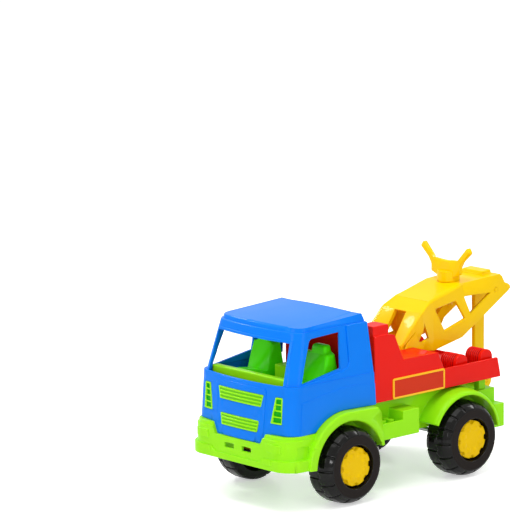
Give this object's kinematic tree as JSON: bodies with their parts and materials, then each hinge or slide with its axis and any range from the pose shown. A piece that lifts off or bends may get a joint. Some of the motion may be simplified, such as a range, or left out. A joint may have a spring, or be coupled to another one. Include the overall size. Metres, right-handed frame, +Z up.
{
  "type": "toy tow truck",
  "caption": "Plastic toy tow truck with an open cab, a flat bed with a raised front, free rolling wheels, a lifting boom with a wing handle and a hanging hook arm.",
  "frame": {"origin": "on the ground, at the middle of the truck's length and width", "axes": "+X forward, +Y to the truck's left, +Z up"},
  "size_m": [0.2978, 0.1444, 0.1827],
  "materials": {
    "blue_plastic": "moulded, satin gloss",
    "lime_plastic": "moulded, satin gloss",
    "red_plastic": "moulded, satin gloss",
    "yellow_plastic": "moulded, satin gloss",
    "hub_yellow": "moulded, satin gloss",
    "black_plastic": "glossy treads, matte sidewalls",
    "sign_face": "printed label, blank",
    "axle_steel": "drawn rod"
  },
  "bodies": {
    "truck": {"chassis": "lime_plastic", "cab_shell": "blue_plastic", "grille_upper": "lime_plastic", "grille_lower": "lime_plastic", "headlamp_left": "lime_plastic", "headlamp_right": "lime_plastic", "cab_interior": "lime_plastic", "seat_left": "lime_plastic", "seat_right": "lime_plastic", "bed": "red_plastic", "cable_drums_left": "red_plastic", "cable_drums_right": "red_plastic", "sign_plate_left": "sign_face", "sign_plate_right": "sign_face", "boom_pin": "yellow_plastic"},
    "front_wheels": {"front_axle": "axle_steel", "front_tyre_left": "black_plastic", "front_hub_left": "hub_yellow", "front_tyre_right": "black_plastic", "front_hub_right": "hub_yellow"},
    "rear_wheels": {"rear_axle": "axle_steel", "rear_tyre_left": "black_plastic", "rear_hub_left": "hub_yellow", "rear_tyre_right": "black_plastic", "rear_hub_right": "hub_yellow"},
    "boom_arm": {"boom": "yellow_plastic", "wing_handle": "yellow_plastic", "hook_pin": "yellow_plastic"},
    "hook": {"hook_arm": "yellow_plastic"}
  },
  "joints": [
    {"name": "front_wheels_roll", "type": "hinge", "parent": "truck", "child": "front_wheels", "pos_m": [0.08255, 0, 0.0316], "axis": [0, 1, 0], "continuous": true},
    {"name": "rear_wheels_roll", "type": "hinge", "parent": "truck", "child": "rear_wheels", "pos_m": [-0.05065, 0, 0.0316], "axis": [0, 1, 0], "continuous": true},
    {"name": "boom_lift", "type": "hinge", "parent": "truck", "child": "boom_arm", "pos_m": [-0.02345, 0, 0.098], "axis": [0, 1, 0], "range_deg": [-8, 25]},
    {"name": "hook_swing", "type": "hinge", "parent": "boom_arm", "child": "hook", "pos_m": [-0.13045, 0, 0.1405], "axis": [0, 1, 0], "range_deg": [-4, 35]}
  ]
}
